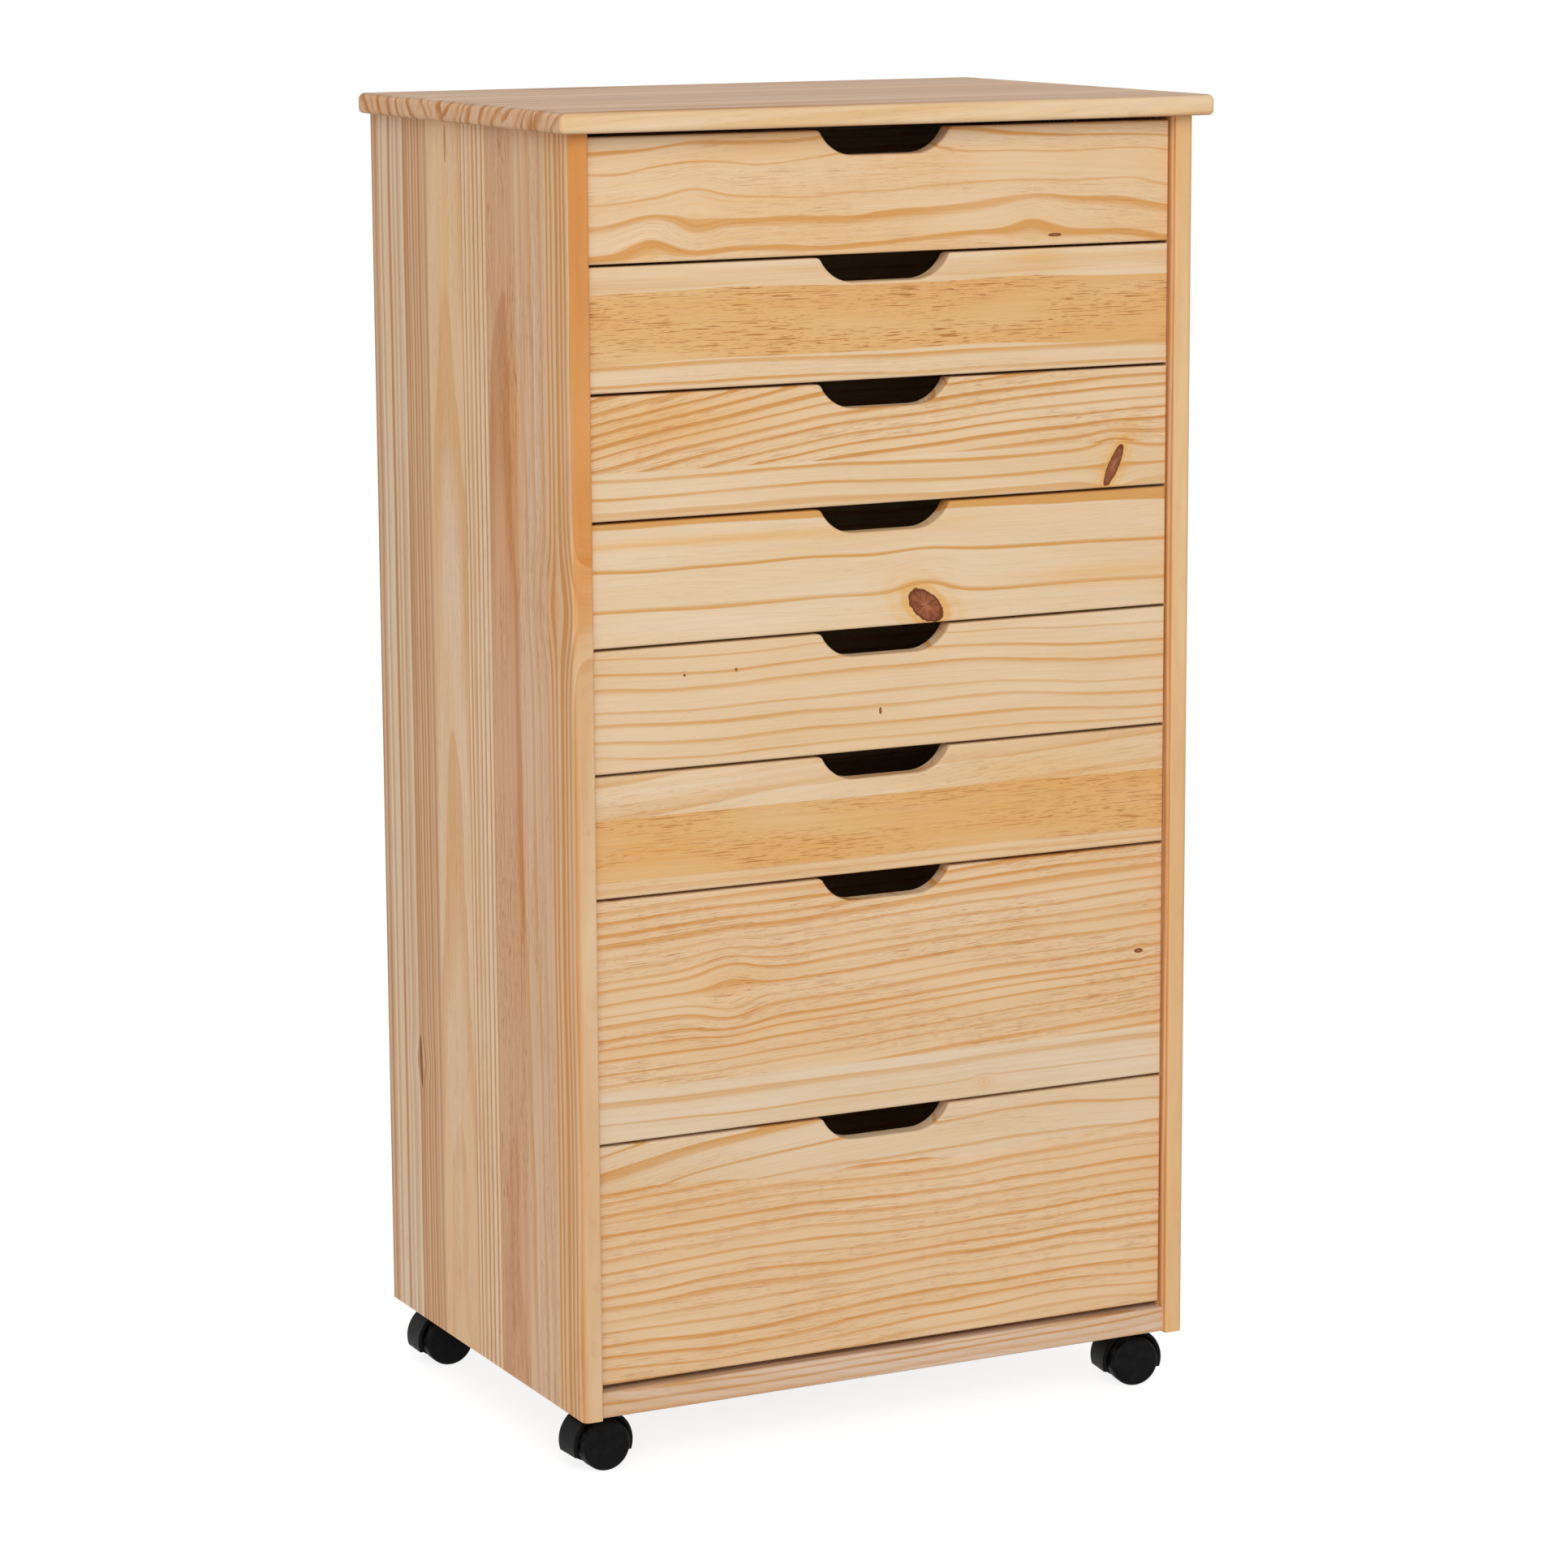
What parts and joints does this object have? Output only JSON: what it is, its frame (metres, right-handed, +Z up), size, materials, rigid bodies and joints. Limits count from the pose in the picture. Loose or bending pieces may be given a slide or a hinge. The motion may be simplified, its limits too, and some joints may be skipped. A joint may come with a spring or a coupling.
{
  "type": "rolling drawer cart",
  "caption": "Tall pine drawer cart on twin-wheel swivel casters, with shallow drawers above deep ones, finger-notched inset fronts and an overhanging top.",
  "frame": {"origin": "on the floor under the middle of the cart's box, between the casters", "axes": "+Z up, front towards -Y where the drawers open, +X to the right seen from the front"},
  "size_m": [0.549, 0.395, 1.034],
  "materials": {
    "pine": "clear satin lacquer",
    "hardwood": "planed, unfinished",
    "plywood": "sanded, unfinished",
    "black_plastic": "satin moulded",
    "steel": "zinc-plated",
    "zinc": "die-cast"
  },
  "bodies": {
    "cabinet": {"top_panel": "pine", "left_side_panel": "pine", "right_side_panel": "pine", "bottom_panel": "pine", "back_panel": "plywood", "left_runners": "hardwood", "right_runners": "hardwood", "carcass_dowels": "hardwood", "cam_bolts": "steel", "cam_locks": "zinc", "caster_inserts": "black_plastic", "caster_stems": "steel"},
    "drawer_1": {"drawer_1_front": "pine", "drawer_1_sides": "pine", "drawer_1_back": "pine", "drawer_1_floor": "plywood"},
    "drawer_2": {"drawer_2_front": "pine", "drawer_2_sides": "pine", "drawer_2_back": "pine", "drawer_2_floor": "plywood"},
    "drawer_3": {"drawer_3_front": "pine", "drawer_3_sides": "pine", "drawer_3_back": "pine", "drawer_3_floor": "plywood"},
    "drawer_4": {"drawer_4_front": "pine", "drawer_4_sides": "pine", "drawer_4_back": "pine", "drawer_4_floor": "plywood"},
    "drawer_5": {"drawer_5_front": "pine", "drawer_5_sides": "pine", "drawer_5_back": "pine", "drawer_5_floor": "plywood"},
    "drawer_6": {"drawer_6_front": "pine", "drawer_6_sides": "pine", "drawer_6_back": "pine", "drawer_6_floor": "plywood"},
    "drawer_7": {"drawer_7_front": "pine", "drawer_7_sides": "pine", "drawer_7_back": "pine", "drawer_7_floor": "plywood"},
    "drawer_8": {"drawer_8_front": "pine", "drawer_8_sides": "pine", "drawer_8_back": "pine", "drawer_8_floor": "plywood"},
    "front_left_caster": {"front_left_caster_hood": "black_plastic", "front_left_caster_axle": "steel"},
    "front_left_front_wheel": {"front_left_caster_front_wheel": "black_plastic"},
    "front_left_back_wheel": {"front_left_caster_back_wheel": "black_plastic"},
    "back_left_caster": {"back_left_caster_hood": "black_plastic", "back_left_caster_axle": "steel"},
    "back_left_front_wheel": {"back_left_caster_front_wheel": "black_plastic"},
    "back_left_back_wheel": {"back_left_caster_back_wheel": "black_plastic"},
    "front_right_caster": {"front_right_caster_hood": "black_plastic", "front_right_caster_axle": "steel"},
    "front_right_front_wheel": {"front_right_caster_front_wheel": "black_plastic"},
    "front_right_back_wheel": {"front_right_caster_back_wheel": "black_plastic"},
    "back_right_caster": {"back_right_caster_hood": "black_plastic", "back_right_caster_axle": "steel"},
    "back_right_front_wheel": {"back_right_caster_front_wheel": "black_plastic"},
    "back_right_back_wheel": {"back_right_caster_back_wheel": "black_plastic"}
  },
  "joints": [
    {"name": "drawer_1_slide", "type": "slide", "parent": "cabinet", "child": "drawer_1", "axis": [0, -1, 0], "range_m": [0, 0.25]},
    {"name": "drawer_2_slide", "type": "slide", "parent": "cabinet", "child": "drawer_2", "axis": [0, -1, 0], "range_m": [0, 0.25]},
    {"name": "drawer_3_slide", "type": "slide", "parent": "cabinet", "child": "drawer_3", "axis": [0, -1, 0], "range_m": [0, 0.25]},
    {"name": "drawer_4_slide", "type": "slide", "parent": "cabinet", "child": "drawer_4", "axis": [0, -1, 0], "range_m": [0, 0.25]},
    {"name": "drawer_5_slide", "type": "slide", "parent": "cabinet", "child": "drawer_5", "axis": [0, -1, 0], "range_m": [0, 0.25]},
    {"name": "drawer_6_slide", "type": "slide", "parent": "cabinet", "child": "drawer_6", "axis": [0, -1, 0], "range_m": [0, 0.25]},
    {"name": "drawer_7_slide", "type": "slide", "parent": "cabinet", "child": "drawer_7", "axis": [0, -1, 0], "range_m": [0, 0.25]},
    {"name": "drawer_8_slide", "type": "slide", "parent": "cabinet", "child": "drawer_8", "axis": [0, -1, 0], "range_m": [0, 0.25]},
    {"name": "front_left_swivel", "type": "hinge", "parent": "cabinet", "child": "front_left_caster", "pos_m": [-0.2255, -0.1415, 0.048], "axis": [0, 0, 1], "continuous": true},
    {"name": "front_left_front_wheel_spin", "type": "hinge", "parent": "front_left_caster", "child": "front_left_front_wheel", "pos_m": [-0.23549, -0.14202, 0.02], "axis": [0.0523, -0.9986, 0], "continuous": true},
    {"name": "front_left_back_wheel_spin", "type": "hinge", "parent": "front_left_caster", "child": "front_left_back_wheel", "pos_m": [-0.23549, -0.14202, 0.02], "axis": [0.0523, -0.9986, 0], "continuous": true},
    {"name": "back_left_swivel", "type": "hinge", "parent": "cabinet", "child": "back_left_caster", "pos_m": [-0.2255, 0.1645, 0.048], "axis": [0, 0, 1], "continuous": true},
    {"name": "back_left_front_wheel_spin", "type": "hinge", "parent": "back_left_caster", "child": "back_left_front_wheel", "pos_m": [-0.2355, 0.16467, 0.02], "axis": [-0.0175, -0.9998, 0], "continuous": true},
    {"name": "back_left_back_wheel_spin", "type": "hinge", "parent": "back_left_caster", "child": "back_left_back_wheel", "pos_m": [-0.2355, 0.16467, 0.02], "axis": [-0.0175, -0.9998, 0], "continuous": true},
    {"name": "front_right_swivel", "type": "hinge", "parent": "cabinet", "child": "front_right_caster", "pos_m": [0.2255, -0.1415, 0.048], "axis": [0, 0, 1], "continuous": true},
    {"name": "front_right_front_wheel_spin", "type": "hinge", "parent": "front_right_caster", "child": "front_right_front_wheel", "pos_m": [0.23541, -0.1428, 0.02], "axis": [-0.1305, -0.9914, 0], "continuous": true},
    {"name": "front_right_back_wheel_spin", "type": "hinge", "parent": "front_right_caster", "child": "front_right_back_wheel", "pos_m": [0.23541, -0.1428, 0.02], "axis": [-0.1305, -0.9914, 0], "continuous": true},
    {"name": "back_right_swivel", "type": "hinge", "parent": "cabinet", "child": "back_right_caster", "pos_m": [0.2255, 0.1645, 0.048], "axis": [0, 0, 1], "continuous": true},
    {"name": "back_right_front_wheel_spin", "type": "hinge", "parent": "back_right_caster", "child": "back_right_front_wheel", "pos_m": [0.23548, 0.1652, 0.02], "axis": [0.0698, -0.9976, 0], "continuous": true},
    {"name": "back_right_back_wheel_spin", "type": "hinge", "parent": "back_right_caster", "child": "back_right_back_wheel", "pos_m": [0.23548, 0.1652, 0.02], "axis": [0.0698, -0.9976, 0], "continuous": true}
  ]
}
